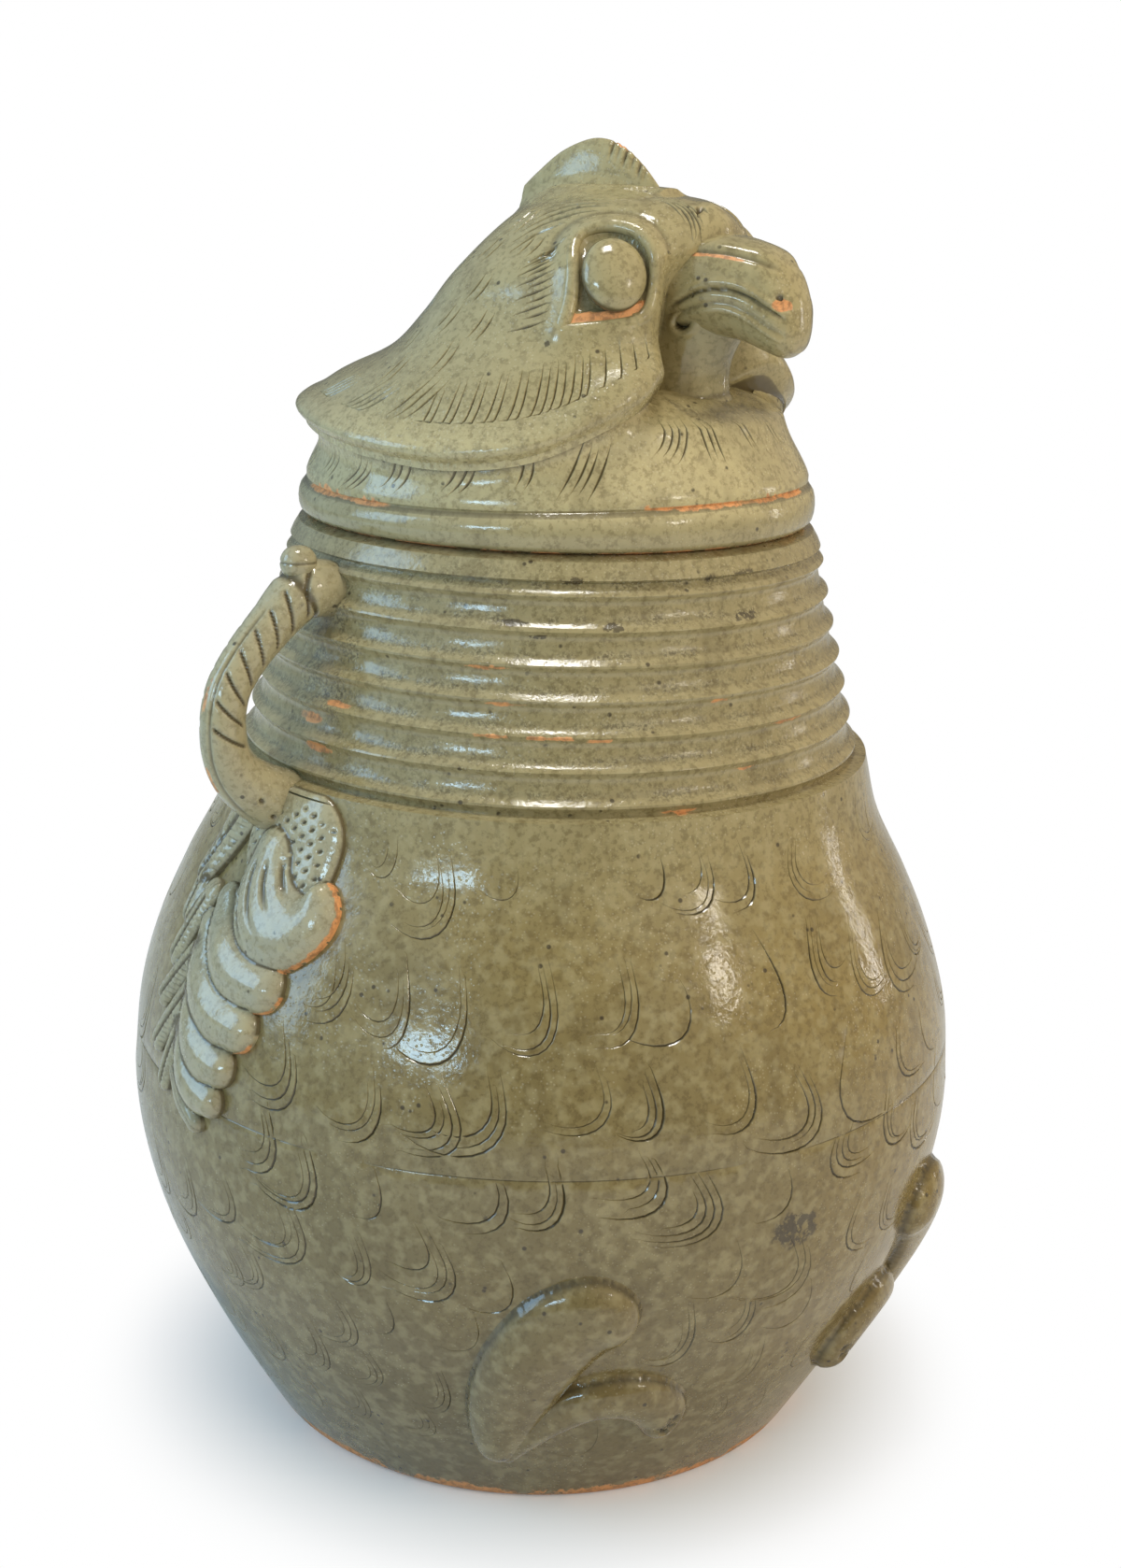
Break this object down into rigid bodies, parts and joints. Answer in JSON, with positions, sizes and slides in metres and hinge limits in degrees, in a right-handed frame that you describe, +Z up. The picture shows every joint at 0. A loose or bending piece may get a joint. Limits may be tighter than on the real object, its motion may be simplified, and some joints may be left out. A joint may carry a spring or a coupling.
{
  "type": "lidded ceramic jar",
  "caption": "Lidded stoneware storage jar in the form of a perched bird, with a ribbed neck, side loop handles, relief wings and folded legs, and a hollow bird's head that lifts off as the lid.",
  "frame": {"origin": "centre of the foot ring, on the floor plane", "axes": "+Z up the axis the jar was turned on, -Y the way the bird's breast faces, +X the bird's left side"},
  "size_m": [0.326, 0.316, 0.479],
  "materials": {
    "celadon_glaze": "gloss",
    "pooled_glaze": "gloss",
    "thin_glaze": "gloss"
  },
  "bodies": {
    "jar": {"jar_body": "celadon_glaze", "wing_right": "thin_glaze", "handle_right": "thin_glaze", "handle_bud_right": "thin_glaze", "thigh_right": "celadon_glaze", "shin_right": "celadon_glaze", "wing_left": "thin_glaze", "handle_left": "thin_glaze", "handle_bud_left": "thin_glaze", "thigh_left": "celadon_glaze", "shin_left": "celadon_glaze"},
    "lid": {"lid_collar": "celadon_glaze", "head": "celadon_glaze", "crest": "thin_glaze", "beak": "thin_glaze", "throat": "celadon_glaze", "eye_right": "pooled_glaze", "eyelid_right": "thin_glaze", "eye_left": "pooled_glaze", "eyelid_left": "thin_glaze"}
  },
  "joints": [
    {"name": "lid_lift", "type": "slide", "parent": "jar", "child": "lid", "axis": [0, 0, 1], "range_m": [0, 0.2]}
  ]
}
